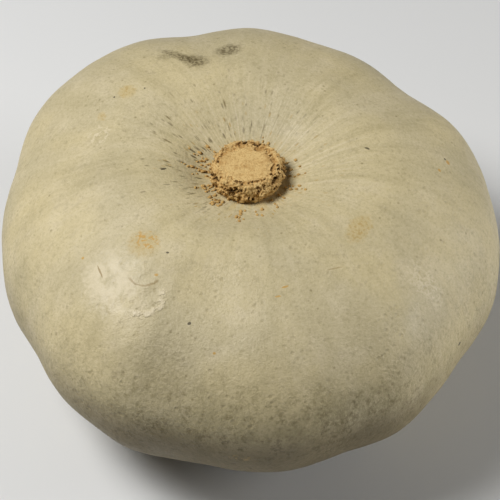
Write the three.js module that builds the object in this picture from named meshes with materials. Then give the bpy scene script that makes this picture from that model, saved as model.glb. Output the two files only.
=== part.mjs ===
// A crown pumpkin as picked: the whole ribbed fruit, and the stub of corky stalk left on it.
// Millimetres, +Z up. The origin is on the surface it rests on, under the middle of the pumpkin.

import * as THREE from 'three';

// ---- driving dimensions ----

const HALF_WIDTH = 140; // middle to the ribs at the widest level, before they swell
const CROWN_HEIGHT = 77; // widest level up to where the crown would close
const BELLY_HEIGHT = 76; // widest level down to where the belly would close
const CROWN_FULLNESS = 2.33; // 2 makes an elliptical shoulder, more makes a squarer one
const BELLY_FULLNESS = 2.15;

const SEAT_RADIUS = 21; // flat spot that the stalk stands on
const DIMPLE_DEPTH = 23; // how far the seat is sunk in the crown
const DIMPLE_REACH = 32; // how far the hollow spreads past the seat
const FOOT_TRIM = 3; // how much of the belly the flat resting spot takes away
const SCAR_RADIUS = 13; // blossom scar in the middle of the underside
const SCAR_DEPTH = 3;

const STALK_RADIUS = 20;
const STALK_TOP_RADIUS = 15.5;
const STALK_HEIGHT = 12;
const STALK_GAP = 0.3; // between the stalk and its seat

// The body isn't quite round: it stands out by so much on one, two and three sides.
const SWELLINGS = [
  { sides: 1, towards: 113, by: 4 },
  { sides: 2, towards: 109, by: 5.3 },
  { sides: 3, towards: 16, by: 2 },
];

// Furrows between the ribs: degrees round from +X, depth in millimetres, width in degrees.
const FURROWS = [
  { at: 10, depth: 1.1, width: 9 },
  { at: 45.5, depth: 5, width: 12 },
  { at: 71, depth: 2, width: 12 },
  { at: 104, depth: 3.7, width: 9 },
  { at: 164, depth: 5.9, width: 13 },
  { at: 185, depth: 2.4, width: 11 },
  { at: 210, depth: 3.3, width: 11 },
  { at: 235, depth: 1.2, width: 10 },
  { at: 249, depth: 0.9, width: 9 },
  { at: 258, depth: 5.3, width: 11 },
  { at: 273.5, depth: 4.2, width: 12 },
  { at: 293.5, depth: 5, width: 11 },
  { at: 312, depth: 1.8, width: 11 },
  { at: 327, depth: 4.3, width: 12.5 },
];
const FULL_FURROW = 0.78; // part of the half width at which a furrow reaches its whole depth

// ---- fineness of the mesh ----

const FRUIT_COLUMNS = 96;
const CROWN_ROWS = 17;
const BELLY_ROWS = 10;
const STALK_COLUMNS = 40;

// ---- closed surfaces made of rings ----

// The rings run from the top one down, and a single point closes each end.
function ringsToGeometry(top, rings, bottom) {
  const columns = rings[0].length;
  const points = [top, ...rings.flat(), bottom];
  const start = (row) => 1 + row * columns;
  const index = [];
  for (let column = 0; column < columns; column++) {
    const next = (column + 1) % columns;
    index.push(0, start(0) + column, start(0) + next);
    for (let row = 0; row + 1 < rings.length; row++) {
      const [upper, lower] = [start(row), start(row + 1)];
      index.push(upper + column, lower + column, lower + next);
      index.push(upper + column, lower + next, upper + next);
    }
    const lowest = start(rings.length - 1);
    index.push(lowest + column, points.length - 1, lowest + next);
  }
  const geometry = new THREE.BufferGeometry().setFromPoints(points);
  geometry.setIndex(index);
  geometry.computeVertexNormals();
  return geometry;
}

function ring(columns, pointAt) {
  return Array.from({ length: columns }, (_, column) => pointAt((2 * Math.PI * column) / columns));
}

function polar(azimuth, radius, height) {
  return new THREE.Vector3(radius * Math.cos(azimuth), radius * Math.sin(azimuth), height);
}

// ---- fruit ----

// The widest level is at height 0 here; the finished fruit is raised to stand on its foot.
const FOOT_LEVEL = FOOT_TRIM - BELLY_HEIGHT;
const SEAT_LEVEL = crownLevel(SEAT_RADIUS / HALF_WIDTH);

// Height of the crown at a spread: the part of the half width out from the middle, 0 to 1.
function crownLevel(spread) {
  const dome = CROWN_HEIGHT * (1 - spread ** CROWN_FULLNESS) ** (1 / CROWN_FULLNESS);
  const pastSeat = Math.max(0, HALF_WIDTH * spread - SEAT_RADIUS) / DIMPLE_REACH;
  return dome - DIMPLE_DEPTH * Math.exp(-(pastSeat ** 1.5));
}

function furrowAt(azimuth) {
  return FURROWS.reduce((sum, { at, depth, width }) => {
    const apart = Math.abs(((THREE.MathUtils.radToDeg(azimuth) - at + 540) % 360) - 180);
    return sum + depth * Math.exp(-((apart / width) ** 1.6));
  }, 0);
}

function swellingAt(azimuth) {
  return SWELLINGS.reduce((sum, { sides, towards, by }) => {
    return sum + by * Math.cos(sides * (azimuth - THREE.MathUtils.degToRad(towards)));
  }, 0);
}

// Furrows and swellings grow from nothing at the stalk. The belly's furrows run straight in.
function fruitPoint(azimuth, spread, level) {
  const swelling = (swellingAt(azimuth) / HALF_WIDTH) * Math.min(1, 1.5 * spread);
  const growth = THREE.MathUtils.smoothstep(spread, 0, FULL_FURROW);
  const furrow = (furrowAt(azimuth) / HALF_WIDTH) * growth;
  const height = level > 0 ? level * (1 - furrow) : level;
  return polar(azimuth, HALF_WIDTH * spread * (1 + swelling - furrow), height);
}

function crownRings() {
  const seatTurn = Math.acos((SEAT_RADIUS / HALF_WIDTH) ** (CROWN_FULLNESS / 2));
  return Array.from({ length: CROWN_ROWS }, (_, row) => {
    const spread = Math.cos(seatTurn * (1 - (row + 1) / CROWN_ROWS)) ** (2 / CROWN_FULLNESS);
    return ring(FRUIT_COLUMNS, (azimuth) => fruitPoint(azimuth, spread, crownLevel(spread)));
  });
}

function bellyRings() {
  const footTurn = Math.asin((-FOOT_LEVEL / BELLY_HEIGHT) ** (BELLY_FULLNESS / 2));
  return Array.from({ length: BELLY_ROWS }, (_, row) => {
    const turn = (footTurn * (row + 1)) / BELLY_ROWS;
    const spread = Math.cos(turn) ** (2 / BELLY_FULLNESS);
    const level = row + 1 < BELLY_ROWS ? -BELLY_HEIGHT * Math.sin(turn) ** (2 / BELLY_FULLNESS) : FOOT_LEVEL;
    return ring(FRUIT_COLUMNS, (azimuth) => fruitPoint(azimuth, spread, level));
  });
}

function makeFruit() {
  const seatEdge = ring(FRUIT_COLUMNS, (azimuth) => polar(azimuth, SEAT_RADIUS, SEAT_LEVEL));
  const scarEdge = ring(FRUIT_COLUMNS, (azimuth) => polar(azimuth, SCAR_RADIUS, FOOT_LEVEL));
  const rings = [seatEdge, ...crownRings(), ...bellyRings(), scarEdge];
  const geometry = ringsToGeometry(
    new THREE.Vector3(0, 0, SEAT_LEVEL),
    rings,
    new THREE.Vector3(0, 0, FOOT_LEVEL + SCAR_DEPTH),
  );
  const skin = new THREE.MeshStandardMaterial({ color: 0xb4aa82, roughness: 0.5, metalness: 0 });
  const fruit = new THREE.Mesh(geometry, skin);
  fruit.name = 'fruit';
  return fruit;
}

// ---- stalk ----

// The stub is slightly waisted below its cut face, and lumpy round the outside.
function makeStalk() {
  const profile = [
    { radius: STALK_TOP_RADIUS, height: STALK_HEIGHT },
    { radius: STALK_RADIUS - 1.2, height: STALK_HEIGHT - 1.5 },
    { radius: STALK_RADIUS, height: 0.6 * STALK_HEIGHT },
    { radius: STALK_RADIUS - 0.8, height: 0.3 * STALK_HEIGHT },
    { radius: STALK_RADIUS, height: 0 },
  ];
  const lumps = (azimuth) => 1 + 0.03 * Math.cos(3 * azimuth - 1) + 0.02 * Math.cos(7 * azimuth);
  const rings = profile.map(({ radius, height }) =>
    ring(STALK_COLUMNS, (azimuth) => polar(azimuth, radius * lumps(azimuth), height)),
  );
  const geometry = ringsToGeometry(new THREE.Vector3(0, 0, STALK_HEIGHT), rings, new THREE.Vector3());
  const cork = new THREE.MeshStandardMaterial({ color: 0xb59263, roughness: 0.9, metalness: 0 });
  const stalk = new THREE.Mesh(geometry, cork);
  stalk.name = 'stem';
  stalk.position.z = SEAT_LEVEL + STALK_GAP;
  return stalk;
}

// ---- assembly ----

const pumpkin = new THREE.Group();
pumpkin.add(makeFruit(), makeStalk());

const middle = new THREE.Box3().setFromObject(pumpkin).getCenter(new THREE.Vector3());
pumpkin.position.set(-middle.x, -middle.y, -FOOT_LEVEL);

export default pumpkin;
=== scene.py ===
"""The looks of a crown pumpkin: waxy ribbed fruit, corky stub of stalk, and crumbs of cork round it."""

import math
import random

import bmesh
import bpy
from mathutils import Matrix, Vector
from mathutils.bvhtree import BVHTree


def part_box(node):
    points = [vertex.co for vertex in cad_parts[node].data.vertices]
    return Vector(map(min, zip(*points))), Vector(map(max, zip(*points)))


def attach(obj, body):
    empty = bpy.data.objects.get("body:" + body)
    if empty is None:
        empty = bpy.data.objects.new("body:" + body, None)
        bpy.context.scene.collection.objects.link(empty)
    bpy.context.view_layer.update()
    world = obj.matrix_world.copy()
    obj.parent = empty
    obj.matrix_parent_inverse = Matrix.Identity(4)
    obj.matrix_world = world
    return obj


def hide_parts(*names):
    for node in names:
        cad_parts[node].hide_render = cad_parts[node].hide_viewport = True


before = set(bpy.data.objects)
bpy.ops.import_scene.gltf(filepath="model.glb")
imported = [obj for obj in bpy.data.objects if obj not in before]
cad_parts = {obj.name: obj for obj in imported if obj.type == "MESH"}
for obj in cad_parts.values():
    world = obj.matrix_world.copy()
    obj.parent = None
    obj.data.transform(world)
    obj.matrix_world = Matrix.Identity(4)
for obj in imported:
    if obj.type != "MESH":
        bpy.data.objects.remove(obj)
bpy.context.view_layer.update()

# ---- sizes, in metres, from the frame ----

fruit_low, fruit_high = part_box("fruit")
stem_low, stem_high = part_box("stem")
AXIS = (stem_low + stem_high) / 2  # the fruit is round about its stalk, which isn't over its middle
HALF_WIDTH = 0.52 * (fruit_high.x - fruit_low.x)
WIDEST = 0.523 * fruit_high.z  # height of the widest level
CROWN_HEIGHT = 0.554 * HALF_WIDTH
BELLY_HEIGHT = 1.042 * WIDEST
SEAT_LEVEL = stem_low.z
SEAT_RADIUS = 0.15 * HALF_WIDTH
HEART = Vector((AXIS.x, AXIS.y, WIDEST))  # middle of the fruit, level with its widest part

CROWN_FULLNESS = 2.33  # 2 makes an elliptical shoulder, more makes a squarer one
BELLY_FULLNESS = 2.15
DIMPLE_REACH = 0.23 * HALF_WIDTH
SCAR_RADIUS = 0.013
SCAR_DEPTH = 0.003

MM = 0.001

# ---- modelling with operators ----


def choose(piece):
    """Selects one piece alone."""
    bpy.ops.object.select_all(action="DESELECT")
    piece.select_set(True)
    bpy.context.view_layer.objects.active = piece


def edit(piece):
    """Goes into edit mode on one piece alone."""
    choose(piece)
    bpy.ops.object.mode_set(mode="EDIT")


def leave_edit():
    bpy.ops.object.mode_set(mode="OBJECT")


def select_points(piece, test):
    """Selects the points of the piece in edit mode that pass a test of their place."""
    bpy.ops.mesh.select_all(action="DESELECT")
    mesh = bmesh.from_edit_mesh(piece.data)
    for point in mesh.verts:
        point.select = test(point.co)
    mesh.select_flush(True)
    bmesh.update_edit_mesh(piece.data)


def add_modifier(piece, kind, **settings):
    """Adds a modifier and applies it."""
    choose(piece)
    modifier = piece.modifiers.new(kind.title(), kind)
    for name, value in settings.items():
        setattr(modifier, name, value)
    bpy.ops.object.modifier_apply(modifier=modifier.name)


def smooth(piece):
    choose(piece)
    bpy.ops.object.shade_smooth()


def roughen(piece, size, strength, group="", kind="CLOUDS", **settings):
    """Displaces a surface along its normals by a procedural pattern with lumps of a size."""
    pattern = bpy.data.textures.new(f"{piece.name}_{kind.lower()}", kind)
    pattern.noise_scale = size
    for name, value in settings.items():
        setattr(pattern, name, value)
    add_modifier(
        piece,
        "DISPLACE",
        texture=pattern,
        texture_coords="LOCAL",
        strength=strength,
        mid_level=0.5,
        vertex_group=group,
    )


def paint_group(piece, name, weight_at):
    """Paints a vertex group: how much of something each point takes."""
    group = piece.vertex_groups.new(name=name)
    for point in piece.data.vertices:
        group.add([point.index], weight_at(point.co), "REPLACE")


def smoothstep(low, high, value):
    part = min(1.0, max(0.0, (value - low) / (high - low)))
    return part * part * (3 - 2 * part)


def around(azimuth, radius, height=0.0):
    """A place round the stalk's axis: azimuth in degrees from +X, and height above the heart."""
    turn = math.radians(azimuth)
    return HEART + Vector((radius * math.cos(turn), radius * math.sin(turn), height))


def azimuth_of(place):
    return math.degrees(math.atan2(place.y - HEART.y, place.x - HEART.x))


def degrees_apart(one, other):
    return abs((one - other + 180) % 360 - 180)


def distance_out(place):
    return math.hypot(place.x - HEART.x, place.y - HEART.y)


# ---- fruit ----

FRUIT_COLUMNS = 144
CROWN_ROWS = 22
BELLY_ROWS = 14

# The ribs stand out on one, two and three sides: how many, towards where, and how far.
SWELLINGS = ((1, 113, 4.0 * MM), (2, 109, 5.3 * MM), (3, 16, 2.0 * MM))

FURROW_START = 0.64 * HALF_WIDTH  # how far out from the stalk a furrow's line starts
FURROW_FOOT = 0.4 * WIDEST  # and how low it ends

# Furrows: where each lies round the stalk, its depth, and its width in degrees.
FURROWS = (
    (10, 1.1 * MM, 9),
    (45.5, 5.0 * MM, 12),
    (71, 2.0 * MM, 12),
    (104, 3.7 * MM, 9),
    (164, 5.9 * MM, 13),
    (185, 2.4 * MM, 11),
    (210, 3.3 * MM, 11),
    (235, 1.2 * MM, 10),
    (249, 0.9 * MM, 9),
    (258, 5.3 * MM, 11),
    (273.5, 4.2 * MM, 12),
    (293.5, 5.0 * MM, 11),
    (312, 1.8 * MM, 11),
    (327, 4.3 * MM, 12.5),
)

# Wrinkled patches of wax: azimuth, rise above the widest level, spread in degrees, and strength.
WRINKLED = ((238, 31, 9, 1.0), (323, 21, 8, 0.45), (268, 12, 16, 0.25))


def crown_level(spread):
    """Height of the crown above the widest level, at a part of the half width out from the middle."""
    dome = CROWN_HEIGHT * (1 - spread**CROWN_FULLNESS) ** (1 / CROWN_FULLNESS)
    past_seat = max(0.0, HALF_WIDTH * spread - SEAT_RADIUS) / DIMPLE_REACH
    dimple = CROWN_HEIGHT + WIDEST - SEAT_LEVEL
    return dome - dimple * math.exp(-(past_seat**1.5))


def fruit_profile():
    """Half of the fruit's section, from the seat of the stalk down to the blossom scar."""
    seat = crown_level(SEAT_RADIUS / HALF_WIDTH)
    points = [(0.0, seat), (0.5 * SEAT_RADIUS, seat)]
    seat_turn = math.acos((SEAT_RADIUS / HALF_WIDTH) ** (CROWN_FULLNESS / 2))
    for row in range(CROWN_ROWS):
        spread = math.cos(seat_turn * (1 - row / CROWN_ROWS)) ** (2 / CROWN_FULLNESS)
        points.append((HALF_WIDTH * spread, crown_level(spread)))
    foot_turn = math.asin((WIDEST / BELLY_HEIGHT) ** (BELLY_FULLNESS / 2))
    for row in range(BELLY_ROWS + 1):
        turn = foot_turn * row / BELLY_ROWS
        spread = math.cos(turn) ** (2 / BELLY_FULLNESS)
        points.append((HALF_WIDTH * spread, -BELLY_HEIGHT * math.sin(turn) ** (2 / BELLY_FULLNESS)))
    points += [(0.5 * (points[-1][0] + SCAR_RADIUS), -WIDEST), (SCAR_RADIUS, -WIDEST)]
    points += [(0.6 * SCAR_RADIUS, SCAR_DEPTH - WIDEST), (0.0, SCAR_DEPTH - WIDEST)]
    return points


def spin_fruit():
    """Draws the profile point by point from one point, and spins it round the stalk's axis."""
    bpy.ops.object.select_all(action="DESELECT")
    bpy.ops.mesh.primitive_plane_add(size=MM)
    fruit = bpy.context.object
    fruit.name = fruit.data.name = "fruit_skin"
    edit(fruit)
    bpy.ops.mesh.select_all(action="SELECT")
    bpy.ops.mesh.merge(type="CENTER")
    profile = [around(0, radius, level) for radius, level in fruit_profile()]
    bpy.ops.transform.translate(value=profile[0])
    for here, there in zip(profile, profile[1:]):
        bpy.ops.mesh.extrude_region_move(TRANSFORM_OT_translate={"value": there - here})
    bpy.ops.mesh.select_all(action="SELECT")
    bpy.ops.mesh.spin(steps=FRUIT_COLUMNS, angle=math.tau, center=HEART, axis=(0, 0, 1))
    bpy.ops.mesh.select_all(action="SELECT")
    bpy.ops.mesh.remove_doubles(threshold=0.01 * MM)
    bpy.ops.mesh.normals_make_consistent(inside=False)
    leave_edit()
    return fruit


def swell_ribs(fruit):
    """Widens or narrows the fruit a column at a time, so that it isn't quite round."""
    edit(fruit)
    step = 360 / FRUIT_COLUMNS
    for column in range(FRUIT_COLUMNS):
        azimuth = column * step
        out = sum(by * math.cos(math.radians(sides * (azimuth - at))) for sides, at, by in SWELLINGS)
        grow = 1 + out / HALF_WIDTH
        select_points(
            fruit,
            lambda place: distance_out(place) > SEAT_RADIUS
            and degrees_apart(azimuth_of(place), azimuth) < step / 2,
        )
        bpy.ops.transform.resize(value=(grow, grow, 1), center_override=HEART)
    leave_edit()


def sink_furrows(fruit):
    """Pushes the line of each furrow into the fruit, and its neighbours with it."""
    edit(fruit)
    half_step = 180 / FRUIT_COLUMNS
    for azimuth, depth, width in FURROWS:
        select_points(
            fruit,
            lambda place: degrees_apart(azimuth_of(place), azimuth) <= half_step
            and distance_out(place) > FURROW_START
            and place.z > FURROW_FOOT,
        )
        bpy.ops.transform.shrink_fatten(
            value=-depth,
            use_proportional_edit=True,
            proportional_edit_falloff="SMOOTH",
            proportional_size=1.5 * math.radians(width) * HALF_WIDTH,
        )
    leave_edit()


def seen_from_heart(place):
    """The azimuth and the rise above the widest level at which a place lies, in degrees."""
    return azimuth_of(place) % 360, math.degrees(math.atan2(place.z - HEART.z, distance_out(place)))


def wrinkles_at(place):
    """How wrinkled the skin is at a place: most where the wax is thickest."""
    azimuth, rise = seen_from_heart(place)
    return sum(
        strength * math.exp(-(((degrees_apart(azimuth, at) / spread) ** 2 + ((rise - up) / spread) ** 2)))
        for at, up, spread, strength in WRINKLED
    )


def make_fruit():
    fruit = spin_fruit()
    swell_ribs(fruit)
    sink_furrows(fruit)
    add_modifier(fruit, "SUBSURF", levels=2, render_levels=2)
    roughen(fruit, 45 * MM, 1.6 * MM)
    roughen(fruit, 13 * MM, 0.3 * MM)
    paint_group(fruit, "wrinkled", wrinkles_at)
    roughen(fruit, 5.5 * MM, 1.5 * MM, "wrinkled", noise_depth=3)
    smooth(fruit)
    return fruit


# ---- places on the finished skin ----


class Skin:
    """Finds places on the finished fruit, by how far round and how high they are seen from its heart."""

    def __init__(self, fruit):
        self.tree = BVHTree.FromObject(fruit, bpy.context.evaluated_depsgraph_get())

    def at(self, azimuth, rise):
        """The place and the outward normal at an azimuth and a rise above the widest level, in degrees."""
        flat = math.cos(math.radians(rise))
        outward = around(azimuth, flat, math.sin(math.radians(rise))) - HEART
        place, normal, _, _ = self.tree.ray_cast(HEART + 2 * HALF_WIDTH * outward, -outward)
        return place, normal

    def under(self, azimuth, radius):
        """The place and the outward normal straight below a point over the crown."""
        above = around(azimuth, radius, 2 * HALF_WIDTH)
        place, normal, _, _ = self.tree.ray_cast(above, Vector((0, 0, -1)))
        return place, normal


# ---- cork crumbs, the beads that the stalk and the skin round it are crusted with ----


def make_bead(name, place, size, stretch, lean, seed):
    """One rounded crumb: a small sphere, stretched, turned to lie along a direction and made uneven."""
    chance = random.Random(seed)
    bpy.ops.object.select_all(action="DESELECT")
    bpy.ops.mesh.primitive_uv_sphere_add(segments=7, ring_count=5, radius=size, location=place)
    bead = bpy.context.object
    bead.name = name
    turn = lean.to_track_quat("X", "Z").to_matrix().to_4x4()
    shape = Matrix.Diagonal((*stretch, 1.0))
    for point in bead.data.vertices:
        wobble = 1 + chance.uniform(-0.35, 0.35)
        point.co = turn @ shape @ (point.co * wobble)
    return bead


def join(pieces, name):
    """Joins pieces into one whose object is at the origin, with its place in its mesh."""
    bpy.ops.object.select_all(action="DESELECT")
    for piece in pieces:
        piece.select_set(True)
    bpy.context.view_layer.objects.active = pieces[0]
    bpy.ops.object.join()
    whole = bpy.context.object
    whole.name = whole.data.name = name
    bpy.ops.object.transform_apply(location=True, rotation=True, scale=True)
    return whole


# ---- stalk ----

STALK_HEIGHT = stem_high.z - stem_low.z
STALK_RADIUS = (stem_high.x - stem_low.x) / 2
STALK_COLUMNS = 48
STALK_SHIFT = Vector((-0.7, -1.1, 0)) * MM
CUT_SHIFT = Vector((-0.7, -1.6, 0)) * MM  # the cut face isn't over the middle of the stalk

# The wall of the stub from its root up to its rim: part of the radius, height as a part of the whole.
STALK_WALL = ((0.86, -0.1), (0.9, 0.1), (0.92, 0.35), (0.9, 0.6), (0.85, 0.82), (0.79, 0.94))
RIM_HEIGHT = STALK_WALL[-1][1]
CUT_RINGS = ((0.72, 0.84), (0.68, 0.84), (0.65, 0.94))  # a moat inside the rim, then the cut face
CUT_STRETCH = (1.12, 0.96, 1)  # the cut face is wider than it is deep
ROOT = AXIS + STALK_SHIFT

# The largest holes: degrees round the wall, height as a part of the whole, reach and depth in millimetres.
HOLES = ((72, 0.93, 2.2, 2.2), (96, 0.93, 1.2, 1.6), (206, 0.62, 1.8, 3.2))
OVERHANG = 322  # the side on which the wall is undercut, in degrees
FULL_MOAT = 252  # the side on which crumbs fill the moat, in degrees
COARSE_CRUMBS = 100
FINE_CRUMBS = 300
PITS = 70


def stalk_core():
    """The stub without its crust: rings extruded upwards and drawn in to the cut face."""
    root_size, root_height = STALK_WALL[0]
    floor = Vector((ROOT.x, ROOT.y, SEAT_LEVEL + root_height * STALK_HEIGHT))
    bpy.ops.object.select_all(action="DESELECT")
    bpy.ops.mesh.primitive_cylinder_add(
        vertices=STALK_COLUMNS, radius=root_size * STALK_RADIUS, depth=0.1 * STALK_HEIGHT, location=floor
    )
    core = bpy.context.object
    bpy.ops.object.transform_apply(location=True)
    edit(core)
    size, height = root_size, root_height
    select_points(core, lambda place: place.z > floor.z)
    for next_size, next_height in STALK_WALL[1:] + CUT_RINGS:
        rise = (next_height - height) * STALK_HEIGHT
        grow = next_size / size
        bpy.ops.mesh.extrude_region_move(TRANSFORM_OT_translate={"value": (0, 0, rise)})
        bpy.ops.transform.resize(value=(grow, grow, 1), center_override=ROOT)
        size, height = next_size, next_height
    bpy.ops.transform.resize(value=CUT_STRETCH, center_override=ROOT)
    bpy.ops.transform.translate(value=CUT_SHIFT)
    leave_edit()
    return core


def wall_place(azimuth, height):
    """A place on the outside of the stub: degrees round it, and height as a part of the whole."""
    steps = zip(STALK_WALL, STALK_WALL[1:])
    lower, upper = next(pair for pair in steps if height <= pair[1][1])
    part = (height - lower[1]) / (upper[1] - lower[1])
    radius = STALK_RADIUS * (lower[0] + part * (upper[0] - lower[0]))
    turn = math.radians(azimuth)
    level = Vector((ROOT.x, ROOT.y, SEAT_LEVEL + height * STALK_HEIGHT))
    return level + Vector((radius * math.cos(turn), radius * math.sin(turn), 0))


def crust_beads(chance, count, sizes, heights, tall):
    """Crumbs scattered over the wall, none low down on the side where the stalk overhangs."""
    beads = []
    for index in range(count):
        azimuth = chance.uniform(0, 360)
        overhang = degrees_apart(azimuth, OVERHANG) < 36
        height = chance.uniform(max(heights[0], 0.45 if overhang else 0.0), heights[1])
        stretch = (chance.uniform(0.7, 1.2), chance.uniform(0.7, 1.2), chance.uniform(*tall))
        lean = around(azimuth, 1, 0.2) - HEART
        size = chance.uniform(*sizes) * MM
        outward = (lean * Vector((1, 1, 0))).normalized() * chance.uniform(-0.3, 0.6) * size
        place = wall_place(azimuth, height) + outward
        beads.append(make_bead("crust", place, size, stretch, lean, index))
    return beads


def moat_beads(chance):
    """Crumbs that fill the moat between the rim and the cut face, thickest in front."""
    beads = []
    for azimuth in range(0, 360, 6):
        full = degrees_apart(azimuth, FULL_MOAT) < 60
        for _ in range(3 if full else 1):
            place = wall_place(azimuth + chance.uniform(-3, 3), RIM_HEIGHT)
            inward = (ROOT - place) * Vector((1, 1, 0)) * chance.uniform(0.06, 0.18)
            drop = Vector((0, 0, chance.uniform(-1.4, 0.0 if full else -0.6) * MM))
            size = chance.uniform(0.7, 1.3) * MM
            stretch = (chance.uniform(0.8, 1.3), chance.uniform(0.7, 1.1), chance.uniform(0.7, 1.1))
            beads.append(make_bead("moat", place + inward + drop, size, stretch, inward, len(beads)))
    return beads


def off_cut_face(place):
    """1 on the crusted wall and rim, falling to 0 on the cut face."""
    from_middle = (place - ROOT - CUT_SHIFT) * Vector((1 / CUT_STRETCH[0], 1 / CUT_STRETCH[1], 0))
    return smoothstep(0.52, 0.64, from_middle.length / STALK_RADIUS)


def dig(stalk, place, reach, depth):
    """Pushes a hole into the crust at a place: how wide and how deep, in millimetres."""
    inward = ((ROOT - place) * Vector((1, 1, 0))).normalized() + Vector((0, 0, -0.4))
    outside = place - 0.8 * MM * inward
    select_points(stalk, lambda spot: (spot - outside).length < 0.8 * MM)
    bpy.ops.transform.translate(
        value=inward * depth * MM,
        use_proportional_edit=True,
        proportional_edit_falloff="SMOOTH",
        proportional_size=reach * MM,
    )


def make_stalk():
    """Crusts the core with crumbs, melts them together, undercuts one side and pits the wall."""
    chance = random.Random(4)
    parts = [stalk_core()]
    parts += crust_beads(chance, COARSE_CRUMBS, (1.0, 1.6), (0.0, 0.6), (0.8, 1.3))
    parts += crust_beads(chance, FINE_CRUMBS, (0.5, 0.95), (0.1, RIM_HEIGHT), (0.8, 2.0))
    parts += moat_beads(chance)
    stalk = join(parts, "corky_stalk")
    add_modifier(stalk, "REMESH", mode="VOXEL", voxel_size=0.34 * MM)
    edit(stalk)
    dig(stalk, wall_place(OVERHANG, 0.1), 7, 3.6)
    for _ in range(PITS):
        place = wall_place(chance.uniform(0, 360), chance.uniform(0.15, 0.92))
        dig(stalk, place, chance.uniform(0.5, 1.0), chance.uniform(0.6, 1.6))
    for azimuth, height, reach, depth in HOLES:
        dig(stalk, wall_place(azimuth, height), reach, depth)
    edge = CUT_RINGS[-1][0] / STALK_WALL[-1][0]
    for azimuth in range(10, 360, 28):
        place = ROOT + CUT_SHIFT + edge * (wall_place(azimuth + chance.uniform(-8, 8), RIM_HEIGHT) - ROOT)
        place.z = SEAT_LEVEL + RIM_HEIGHT * STALK_HEIGHT
        dig(stalk, place, chance.uniform(1.5, 3.5), chance.uniform(0.5, 1.6))
    leave_edit()
    paint_group(stalk, "wall", off_cut_face)
    roughen(stalk, 1.3 * MM, -1.1 * MM, "wall", "VORONOI")
    roughen(stalk, 0.9 * MM, 0.4 * MM, noise_type="HARD_NOISE")
    roughen(stalk, 5 * MM, 1.4 * MM)
    return stalk


# ---- crumbs on the skin ----

# Sectors round the stalk: middle and half-spread in degrees, rows of crumbs, where they start as a
# part of the stalk's radius, and how far they run out.
CRUMB_SECTORS = (
    (176, 26, 9, 1.0, 16 * MM),
    (150, 14, 4, 1.0, 11 * MM),
    (229, 9, 11, 1.18, 5.5 * MM),
    (208, 12, 4, 1.05, 11 * MM),
    (263, 4, 3, 1.22, 12 * MM),
    (281, 4, 2, 1.28, 10 * MM),
    (312, 14, 2, 1.05, 8 * MM),
    (350, 16, 3, 1.06, 13 * MM),
    (25, 16, 2, 1.06, 12 * MM),
    (60, 16, 2, 1.0, 10 * MM),
    (105, 22, 4, 0.98, 6 * MM),
)


def make_crumbs(skin):
    chance = random.Random(11)
    beads = []
    for middle, spread, rows, start, run in CRUMB_SECTORS:
        for _ in range(rows):
            azimuth = middle + chance.uniform(-spread, spread)
            radius = STALK_RADIUS * start * chance.uniform(0.97, 1.1)
            end = radius + run * chance.uniform(0.5, 1.0)
            while radius < end:
                size = chance.uniform(0.4, 0.95) * MM
                place, normal = skin.under(azimuth + chance.uniform(-2, 2), radius)
                outward = around(azimuth, 1) - HEART
                stretch = (chance.uniform(1.0, 1.7), chance.uniform(0.7, 1.1), 0.75)
                place += 0.2 * size * normal
                beads.append(make_bead("crumb", place, size, stretch, outward, len(beads)))
                radius += size * chance.uniform(2.2, 7.0)
    return join(beads, "cork_crumbs")


# ---- painting ----


def srgb(red, green, blue):
    """A colour as a screen shows it, 0 to 255, as the shader's linear colour."""
    parts = [part / 255 for part in (red, green, blue)]
    return (*(p / 12.92 if p <= 0.04045 else ((p + 0.055) / 1.055) ** 2.4 for p in parts), 1.0)


class Wire:
    """A socket that takes Python's arithmetic: each operator adds a Math node."""

    def __init__(self, paint, socket):
        self.paint = paint
        self.socket = socket

    def math(self, operation, *values):
        return self.paint.node("ShaderNodeMath", {"operation": operation}, dict(enumerate(values)))

    def __add__(self, other):
        return self.math("ADD", self, other)

    def __radd__(self, other):
        return self.math("ADD", other, self)

    def __sub__(self, other):
        return self.math("SUBTRACT", self, other)

    def __rsub__(self, other):
        return self.math("SUBTRACT", other, self)

    def __mul__(self, other):
        return self.math("MULTIPLY", self, other)

    def __rmul__(self, other):
        return self.math("MULTIPLY", other, self)

    def __truediv__(self, other):
        return self.math("DIVIDE", self, other)

    def __pow__(self, other):
        return self.math("POWER", self, other)

    def size(self):
        return self.math("ABSOLUTE", self)

    def ramp(self, start, end):
        """Eases from 0 where the value is start to 1 where it is end."""
        limits = {"Value": self, "From Min": start, "From Max": end}
        return self.paint.node("ShaderNodeMapRange", {"interpolation_type": "SMOOTHSTEP"}, limits)


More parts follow.
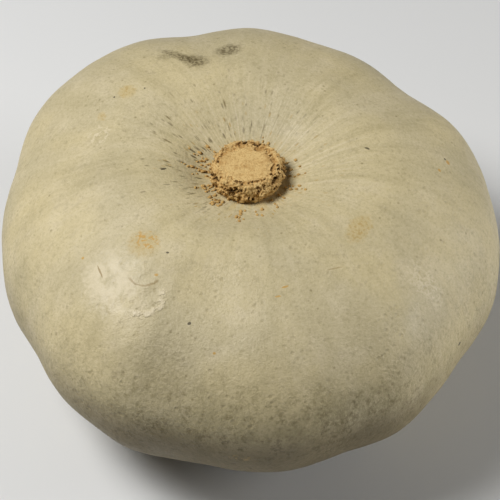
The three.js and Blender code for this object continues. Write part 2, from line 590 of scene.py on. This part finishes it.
class Paint:
    """A material under way: its nodes are added from the pattern's place to the shader's sockets."""

    def __init__(self, name, **constants):
        self.material = bpy.data.materials.new(name)
        self.material.use_nodes = True
        self.tree = self.material.node_tree
        self.shader = self.tree.nodes["Principled BSDF"]
        for socket, value in constants.items():
            self.shader.inputs[socket.replace("_", " ")].default_value = value
        self.place = self.node("ShaderNodeTexCoord", output="Object")

    def node(self, kind, settings=None, inputs=None, output=0):
        """Adds a node. Its settings come first, then the values or links of its sockets."""
        node = self.tree.nodes.new(kind)
        for name, value in (settings or {}).items():
            setattr(node, name, value)
        shown = [socket for socket in node.inputs if socket.enabled]
        for key, value in (inputs or {}).items():
            socket = shown[key] if isinstance(key, int) else next(s for s in shown if s.name == key)
            if isinstance(value, Wire):
                self.tree.links.new(value.socket, socket)
            else:
                socket.default_value = value
        ends = [socket for socket in node.outputs if socket.enabled]
        chosen = ends[output] if isinstance(output, int) else next(s for s in ends if s.name == output)
        return Wire(self, chosen)

    def vector(self, operation, *values):
        return self.node("ShaderNodeVectorMath", {"operation": operation}, dict(enumerate(values)))

    def combine(self, x, y, z):
        return self.node("ShaderNodeCombineXYZ", inputs={0: x, 1: y, 2: z})

    def split(self, vector):
        return [self.node("ShaderNodeSeparateXYZ", inputs={0: vector}, output=end) for end in range(3)]

    def noise(self, place, size, detail=2.0, roughness=0.5):
        """Soft random lumps of about a size in metres, mostly between 0.3 and 0.7."""
        values = {"Vector": place, "Scale": 1 / size, "Detail": detail, "Roughness": roughness}
        return self.node("ShaderNodeTexNoise", inputs=values)

    def cells(self, place, size):
        """Distance to the nearest of points scattered about a size apart, as a part of that size."""
        return self.node("ShaderNodeTexVoronoi", inputs={"Vector": place, "Scale": 1 / size})

    def mix(self, under, over, mask):
        """Lays one colour over another where the mask is 1."""
        inputs = {"Factor": mask, "A": under, "B": over}
        return self.node("ShaderNodeMix", {"data_type": "RGBA"}, inputs)

    def feed(self, socket, value):
        self.tree.links.new(value.socket, self.shader.inputs[socket])

    def bump(self, height, depth):
        """Gives the shader a relief: height from 0 to 1 over a depth in metres."""
        self.feed("Normal", self.node("ShaderNodeBump", inputs={"Distance": depth, "Height": height}))


RAGS_PER_METRE = 450.0  # how finely the edges of the blemishes are torn


class SkinPaint(Paint):
    """Paint for the fruit, with patterns that run out from the stalk."""

    def __init__(self, skin, name, **constants):
        super().__init__(name, **constants)
        self.skin = skin
        x, y, self.height = self.split(self.vector("SUBTRACT", self.place, HEART))
        self.radius = (x * x + y * y) ** 0.5
        self.side_x = x / self.radius
        self.side_y = y / self.radius
        self.way_down = self.radius - 0.7 * self.height
        inputs = {"Vector": self.place, "Scale": RAGS_PER_METRE}
        wander = self.node("ShaderNodeTexNoise", inputs=inputs, output="Color")
        self.ragged = self.vector("SUBTRACT", wander, (0.5, 0.5, 0.5))
        self.speckle = self.noise(self.place, 1.6 * MM, 2, 0.6)
        sparse = self.noise(self.place, 12 * MM).ramp(0.42, 0.58)
        self.pocks = self.cells(self.place, 4.4 * MM).ramp(0.34, 0.08) * sparse
        broken = self.noise(self.place, 3 * MM, 3).ramp(0.36, 0.56)
        self.fold = broken * self.crescent(239.5, 29.5, 18 * MM, 17 * MM, 0.3, 52, 4 * MM)

    def rays(self, across, along):
        """A place for patterns drawn out along the ribs: lumps a radian, and metres that each is long."""
        return self.combine(self.side_x * across, self.side_y * across, self.way_down / along)

    def towards(self, azimuth):
        """1 on the side of the fruit at an azimuth, falling to -1 on the far side."""
        turn = math.radians(azimuth)
        return self.side_x * math.cos(turn) + self.side_y * math.sin(turn)

    def around_mark(self, azimuth, rise, length, width, lie, rag):
        """Distances from a blemish's middle, where its half length and half width are 1."""
        place, normal = self.skin.at(azimuth, rise)
        level = Vector((0, 0, 1)).cross(normal).normalized()
        along = Matrix.Rotation(math.radians(lie), 3, normal) @ level
        off = self.vector("SUBTRACT", self.place, place)
        torn = self.vector("MULTIPLY_ADD", self.ragged, (rag, rag, rag), off)
        u = self.vector("DOT_PRODUCT", torn, along * 2 / length)
        v = self.vector("DOT_PRODUCT", torn, normal.cross(along) * 2 / width)
        depth = self.vector("DOT_PRODUCT", torn, normal / (20 * MM))
        return u, v, depth

    def mark(self, azimuth, rise, length, width, lie=0.0, rag=1.5 * MM, edge=0.4):
        """A mask for a blemish: its place, its size, and its lie in degrees up from level."""
        u, v, depth = self.around_mark(azimuth, rise, length, width, lie, rag)
        return (u * u + v * v + depth * depth).ramp(1 + edge, 1 - edge)

    def crescent(self, azimuth, rise, length, width, line, lie, rag):
        """A mask for a curved scratch along the lower half of an oval.

        The line is half the scratch's thickness, as a part of the oval's half size.
        """
        u, v, depth = self.around_mark(azimuth, rise, length, width, lie, rag)
        off_line = ((u * u + v * v + depth * depth) ** 0.5 - 1).size()
        return off_line.ramp(line, 0.3 * line) * v.ramp(0.0, -0.4)


GREY_GREEN = srgb(190, 177, 140)
STRAW = srgb(201, 186, 144)
PALE = srgb(218, 204, 172)
MOSS = srgb(142, 131, 91)
UMBER = srgb(116, 100, 58)
DARK_OLIVE = srgb(88, 75, 42)
SCRATCH = srgb(146, 122, 76)
BASE_SHADE_BROWN = srgb(86, 72, 43)
TAN = srgb(176, 148, 90)
OCHRE = srgb(190, 166, 108)
ORANGE = srgb(190, 148, 72)
NEAR_BLACK = srgb(50, 42, 24)


def lay_ground(paint):
    """The skin's own colour: soft patches, faint stripes down the ribs, and a fine grain all over."""
    place = paint.place
    colour = paint.mix(GREY_GREEN, STRAW, paint.noise(place, 60 * MM, 3).ramp(0.38, 0.62))
    colour = paint.mix(colour, PALE, 0.3 * paint.noise(place, 18 * MM, 4, 0.6).ramp(0.5, 0.7))
    stripes = paint.noise(paint.rays(9, 110 * MM), 1, 5, 0.65)
    colour = paint.mix(colour, MOSS, 0.2 * stripes.ramp(0.5, 0.7))
    colour = paint.mix(colour, PALE, 0.2 * stripes.ramp(0.5, 0.32))
    near = paint.radius.ramp(85 * MM, 30 * MM) * (0.35 + 0.65 * paint.towards(70).ramp(-0.6, 0.5))
    fine = paint.noise(paint.rays(22, 40 * MM), 1, 5, 0.7)
    colour = paint.mix(colour, MOSS, 0.35 * near * fine.ramp(0.5, 0.68))
    colour = paint.mix(colour, PALE, 0.5 * near * fine.ramp(0.5, 0.34))
    grain = paint.noise(place, 1.5 * MM, 4, 0.75)
    colour = paint.mix(colour, MOSS, 0.4 * grain.ramp(0.5, 0.72))
    return paint.mix(colour, PALE, 0.3 * grain.ramp(0.5, 0.3))


def lay_mottle(paint, colour):
    """Green-grey freckles, blots and pocks, thicker on the lower half, with painted shade that darkens the
    skin towards the bottom, most in front.
    """
    front = paint.towards(270).ramp(0.6, 0.92)
    low = 0.2 + (0.25 + 0.55 * front) * paint.height.ramp(50 * MM, 0.0)
    clouds = paint.noise(paint.place, 9 * MM, 4, 0.65).ramp(0.44, 0.64)
    freckles = paint.noise(paint.place, 2.0 * MM, 3, 0.7).ramp(0.46, 0.6)
    colour = paint.mix(colour, MOSS, 0.95 * low * freckles * (0.35 + 0.65 * clouds))
    blots = paint.noise(paint.place, 4.5 * MM, 4, 0.7).ramp(0.5, 0.64)
    colour = paint.mix(colour, UMBER, 0.5 * low * blots * (0.35 + 0.65 * clouds))
    colour = paint.mix(colour, MOSS, 0.4 * low * paint.noise(paint.place, 20 * MM, 3, 0.6).ramp(0.46, 0.62))
    colour = paint.mix(colour, UMBER, (0.1 + 0.3 * low) * paint.pocks)
    specks = paint.cells(paint.place, 6.5 * MM).ramp(0.15, 0.05)
    colour = paint.mix(colour, UMBER, 0.5 * specks * paint.noise(paint.place, 5 * MM).ramp(0.4, 0.6))
    # painted shade: umber darkening towards the bottom, most in front
    colour = paint.mix(colour, UMBER, (0.2 + 0.35 * front) * paint.height.ramp(30 * MM, -45 * MM))
    # painted shade: deep brown near and below the widest level, most in front, where the skin turns away
    # from the lights
    base = paint.height.ramp(20 * MM, -4 * MM)
    return paint.mix(colour, BASE_SHADE_BROWN, (0.25 + 0.4 * front) * base)


def lay_dashes(paint, colour):
    """Short dark dashes and tan flecks that run out from the stalk, thickest on one side."""
    out = paint.radius.ramp(20 * MM, 25 * MM) * paint.radius.ramp(88 * MM, 40 * MM)
    side = 0.25 + 0.75 * paint.towards(140).ramp(-0.5, 0.8)
    uneven = paint.noise(paint.rays(26, 8 * MM), 1, 2).ramp(0.32, 0.52)
    short = paint.cells(paint.rays(19, 6.5 * MM), 1).ramp(0.3, 0.12)
    patchy = paint.noise(paint.place, 9 * MM).ramp(0.46, 0.56)
    colour = paint.mix(colour, DARK_OLIVE, 0.7 * out * side * uneven * short * patchy)
    long = paint.cells(paint.rays(14, 14 * MM), 1).ramp(0.22, 0.07)
    colour = paint.mix(colour, UMBER, 0.85 * out * side * uneven * long)
    close = paint.radius.ramp(46 * MM, 30 * MM) * paint.towards(165).ramp(-0.2, 0.7)
    thick = paint.cells(paint.rays(12, 6 * MM), 1).ramp(0.32, 0.14)
    colour = paint.mix(colour, DARK_OLIVE, 0.85 * close * uneven * thick)
    flecks = paint.cells(paint.rays(18, 5 * MM), 1).ramp(0.26, 0.14)
    near = paint.radius.ramp(60 * MM, 30 * MM) * paint.noise(paint.place, 7 * MM).ramp(0.5, 0.58)
    colour = paint.mix(colour, TAN, 0.9 * near * flecks)
    stain = paint.radius.ramp(34 * MM, 21 * MM) * paint.noise(paint.rays(9, 12 * MM), 1, 3).ramp(0.42, 0.62)
    return paint.mix(colour, OCHRE, 0.45 * stain)


def lay_bruises(paint, colour):
    """Dark clouds low in front, and speckled bruises on the far side of the stalk."""
    shade = paint.noise(paint.place, 2.6 * MM, 4, 0.7).ramp(0.4, 0.58)
    for azimuth, rise, length, width in ((250, 18, 24, 34), (247, 5, 44, 16), (289, 7, 34, 20)):
        cloud = paint.mark(azimuth, rise, length * MM, width * MM, 0, 14 * MM, 0.95)
        colour = paint.mix(colour, DARK_OLIVE, 0.22 * cloud * shade)
    for mask in (
        0.8 * paint.mark(115, 34.5, 24 * MM, 7 * MM, -24, 5 * MM, 0.9),
        0.8 * paint.mark(111, 37.5, 15 * MM, 13 * MM, -40, 6 * MM, 0.9),
        0.4 * paint.mark(120, 34, 8 * MM, 6 * MM, 0, 5 * MM, 0.9),
        0.8 * paint.mark(98, 35, 14 * MM, 12 * MM, 0, 5 * MM, 0.9),
    ):
        colour = paint.mix(colour, DARK_OLIVE, mask * (0.35 + 0.65 * paint.speckle.ramp(0.4, 0.6)))
    return colour


def lay_scabs(paint, colour):
    """Ochre scabs with a crust of tan speckles, and rusty and orange ones that are speckles alone."""
    for mask, strength in (
        (paint.mark(142, 38, 9 * MM, 9 * MM, 0, 4 * MM, 0.8), 0.5),
        (paint.mark(155, 35, 6 * MM, 5 * MM, 0, 4 * MM, 0.8), 0.4),
        (paint.mark(321, 42, 17 * MM, 10 * MM, 10, 6 * MM, 0.9), 0.5),
        (paint.mark(228, 40, 15 * MM, 14 * MM, 20, 5 * MM, 0.9), 0.5),
    ):
        colour = paint.mix(colour, OCHRE, strength * mask)
        crust = paint.speckle.ramp(0.53, 0.6) * mask
        colour = paint.mix(colour, TAN, 1.3 * strength * crust)
    rust = paint.mark(269, -2, 10 * MM, 4 * MM, 0, 4 * MM, 0.8)
    colour = paint.mix(colour, TAN, 0.7 * rust * paint.speckle.ramp(0.48, 0.56))
    scab = paint.mark(228, 41, 13 * MM, 8 * MM, 25, 6 * MM, 0.8)
    return paint.mix(colour, ORANGE, 0.95 * scab * paint.speckle.ramp(0.5, 0.56))


def lay_wax_and_highlights(paint, colour):
    """Pale marks, most of them painted highlights: the key light's glare on a clumped patch of wax in
    front, the lit rim of a fold in it, and thin streaks at the sides, painted highlights on the right and
    pale wax on the left.
    """
    clumps = paint.noise(paint.place, 8 * MM, 4, 0.65)
    streaks = (paint.noise(paint.place, 5 * MM, 3, 0.6) - 0.5).size().ramp(0.07, 0.0)
    for mask in (
        # painted highlight: glare on the wax patch in front and on the rim of its fold
        0.7 * paint.mark(228, 28.5, 34 * MM, 24 * MM, -20, 16 * MM, 0.9) * clumps.ramp(0.34, 0.54),
        0.8 * paint.fold,
        # painted highlight on the wrinkles on the right; the streaks on the left are pale wax
        0.55 * paint.mark(324, 23, 14 * MM, 26 * MM, 0, 10 * MM, 0.9) * streaks,
        0.8 * paint.mark(164, 36, 13 * MM, 12 * MM, 0, 8 * MM, 0.9) * streaks,
    ):
        colour = paint.mix(colour, PALE, mask)
    return colour


def lay_dots(paint, colour):
    """Orange dots, then nearly black ones: azimuth and rise, length and width, and lie."""
    for azimuth, rise, length, width in (
        (7, 27, 3.2, 2.2),
        (2, 30, 2.2, 1.6),
        (215, 28, 1.7, 1.5),
        (239, 35, 2.0, 1.5),
        (283, 36, 3.6, 1.0),
        (280, 34, 3.0, 0.9),
        (262, 22, 1.5, 1.3),
    ):
        mask = paint.mark(azimuth, rise, length * MM, width * MM, 8, 0.5 * MM)
        colour = paint.mix(colour, ORANGE, 0.85 * mask)
    for azimuth, rise, length, width, lie in (
        (185, 55, 3.6, 1.4, -60),
        (9, 47, 3.0, 1.2, 40),
        (8, 27.6, 1.6, 1.2, 0),
        (254, 27, 1.9, 1.4, 20),
        (326, 4, 2.6, 1.8, 0),
        (137, 41, 1.2, 1.0, 0),
        (146, 36, 1.4, 1.0, 0),
        (238, 41, 1.6, 1.0, 0),
    ):
        mask = paint.mark(azimuth, rise, length * MM, width * MM, lie, 0.6 * MM)
        colour = paint.mix(colour, NEAR_BLACK, 0.8 * mask)
    return colour


def lay_scratches(paint, colour):
    for mask in (
        0.8 * paint.crescent(236, 33.5, 14 * MM, 9 * MM, 0.15, 8, 1.8 * MM),
        paint.mark(223, 29, 8 * MM, 0.9 * MM, -12, 0.5 * MM),
        0.6 * paint.mark(302, 37, 8 * MM, 0.8 * MM, -12, 0.6 * MM),
    ):
        colour = paint.mix(colour, SCRATCH, 0.8 * mask)
    return colour


LAYERS = (lay_mottle, lay_dashes, lay_bruises, lay_scabs, lay_wax_and_highlights, lay_dots, lay_scratches)


def paint_fruit(fruit, skin):
    paint = SkinPaint(skin, "waxy_skin", Specular_IOR_Level=0.45)
    colour = lay_ground(paint)
    for lay in LAYERS:
        colour = lay(paint, colour)
    scar = paint.radius.ramp(1.25 * SCAR_RADIUS, 0.9 * SCAR_RADIUS) * paint.height.ramp(0.0, -20 * MM)
    paint.feed("Base Color", paint.mix(colour, TAN, 0.85 * scar))
    wax = paint.noise(paint.place, 14 * MM, 4, 0.6).ramp(0.35, 0.7)
    thick = paint.mark(234, 30, 40 * MM, 26 * MM, -30, 10 * MM, 0.9)
    paint.feed("Roughness", 0.6 - 0.1 * wax - 0.08 * thick)
    grain = 0.6 * paint.noise(paint.place, 1.2 * MM, 3, 0.6)
    streaks = 0.15 * paint.noise(paint.rays(30, 25 * MM), 1, 3)
    lower = 0.4 + 0.8 * paint.height.ramp(45 * MM, 5 * MM)
    pebbles = lower * paint.noise(paint.place, 3.4 * MM, 3, 0.65)
    paint.bump(grain + streaks + pebbles + 0.7 * paint.fold - 0.4 * paint.pocks, 0.5 * MM)
    fruit.data.materials.clear()
    fruit.data.materials.append(paint.material)


CORK = srgb(216, 184, 124)
CORK_BROWN = srgb(180, 140, 82)
CRUMB_BROWN = srgb(198, 163, 100)
HOLLOW_CORK_AND_SHADE = srgb(84, 60, 28)

GOLDEN_ANGLE = math.radians(137.5)
SHELTER_LOOKS = 12
SHELTER_REACH = 5 * MM


def store_shelter(piece):
    """Stores how closed in each point is, from 0 in the open to 1 deep in a hole, which the cork's paint
    darkens, partly as darker cork and partly as painted shade.
    """
    tree = BVHTree.FromObject(piece, bpy.context.evaluated_depsgraph_get())
    looks = []
    for index in range(SHELTER_LOOKS):
        rise = (index + 0.5) / SHELTER_LOOKS
        flat = (1 - rise**2) ** 0.5
        turn = index * GOLDEN_ANGLE
        looks.append(Vector((flat * math.cos(turn), flat * math.sin(turn), rise)))
    shelter = piece.data.attributes.new("shelter", "FLOAT", "POINT")
    for point, value in zip(piece.data.vertices, shelter.data):
        facing = point.normal.to_track_quat("Z", "Y")
        start = point.co + 0.05 * MM * point.normal
        met = sum(tree.ray_cast(start, facing @ look, SHELTER_REACH)[0] is not None for look in looks)
        value.value = met / SHELTER_LOOKS


def paint_cork(piece, name, light):
    paint = Paint(name, Specular_IOR_Level=0.2, Roughness=0.85)
    place = paint.place
    shelter = paint.node("ShaderNodeAttribute", {"attribute_name": "shelter"}, output="Fac")
    colour = paint.mix(light, CORK_BROWN, 0.8 * paint.noise(place, 4 * MM, 4, 0.65).ramp(0.45, 0.72))
    colour = paint.mix(colour, CORK_BROWN, 0.8 * paint.noise(place, 0.8 * MM, 3, 0.7).ramp(0.48, 0.64))
    # darker towards the hollows: partly darker cork, partly painted shade where the crust closes in
    colour = paint.mix(colour, CORK_BROWN, shelter.ramp(0.15, 0.55))
    colour = paint.mix(colour, HOLLOW_CORK_AND_SHADE, shelter.ramp(0.45, 0.85))
    paint.feed("Base Color", colour)
    paint.bump(paint.noise(place, 0.8 * MM, 4, 0.7), 0.4 * MM)
    piece.data.materials.clear()
    piece.data.materials.append(paint.material)


# ---- the pumpkin ----

fruit = make_fruit()
skin = Skin(fruit)
stalk = make_stalk()
crumbs = make_crumbs(skin)
for piece in (stalk, crumbs):
    smooth(piece)
    store_shelter(piece)
paint_fruit(fruit, skin)
paint_cork(stalk, "dry_cork", CORK)
paint_cork(crumbs, "cork_crumb", CRUMB_BROWN)

# ---- floor, light and camera ----

VIEW_RISE = 48  # degrees above the horizon
VIEW_DISTANCE = 7 * HALF_WIDTH
FRAME_ANGLE = 15.75  # degrees across the picture
VIEW_ROLL = 0.85  # degrees
AIM_RIGHT = 1.2 * MM
AIM_DOWN = 2.0 * MM
FLOOR_SIZE = 8
LIGHT_DISTANCE = 1.4
LIGHT_SIZE = 0.6


def make_floor():
    bpy.ops.object.select_all(action="DESELECT")
    bpy.ops.mesh.primitive_plane_add(size=FLOOR_SIZE)
    floor = bpy.context.object
    floor.name = "floor"
    paint = Paint("pale_floor", Base_Color=(0.72, 0.72, 0.71, 1), Roughness=0.8)
    floor.data.materials.append(paint.material)
    return floor


def make_camera():
    rise = math.radians(VIEW_RISE)
    back = Vector((0, -math.cos(rise), math.sin(rise)))
    up = Vector((0, math.sin(rise), math.cos(rise)))
    aim = HEART + Vector((AIM_RIGHT, 0, 0)) - AIM_DOWN * up
    bpy.ops.object.camera_add(location=HEART + VIEW_DISTANCE * back)
    camera = bpy.context.object
    camera.name = "view"
    camera.data.angle = math.radians(FRAME_ANGLE)
    look = (aim - camera.location).to_track_quat("-Z", "Y").to_matrix()
    camera.rotation_euler = (look @ Matrix.Rotation(math.radians(VIEW_ROLL), 3, "Z")).to_euler()
    bpy.context.scene.camera = camera


def add_light(name, azimuth, rise, power):
    """A square soft box that looks at the fruit from a side and a height, in degrees."""
    flat = LIGHT_DISTANCE * math.cos(math.radians(rise))
    place = around(azimuth, flat, LIGHT_DISTANCE * math.sin(math.radians(rise)))
    bpy.ops.object.light_add(type="AREA", location=place)
    light = bpy.context.object
    light.name = name
    light.data.size = LIGHT_SIZE
    light.data.energy = power
    light.rotation_euler = (HEART - place).to_track_quat("-Z", "Y").to_euler()


def make_surroundings():
    make_floor()
    add_light("key", 181, 57, 20.5)
    add_light("fill", 0, 15, 11)
    world = bpy.data.worlds.new("room")
    world.use_nodes = True
    sky = world.node_tree.nodes["Background"]
    sky.inputs["Color"].default_value = (1, 1, 1, 1)
    sky.inputs["Strength"].default_value = 0.03
    bpy.context.scene.world = world
    bpy.context.scene.view_settings.view_transform = "Standard"


make_surroundings()
make_camera()

for piece, node, slot in ((fruit, "fruit", "skin"), (stalk, "stem", "cork")):
    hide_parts(node)
for piece in (fruit, stalk, crumbs):
    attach(piece, "root")
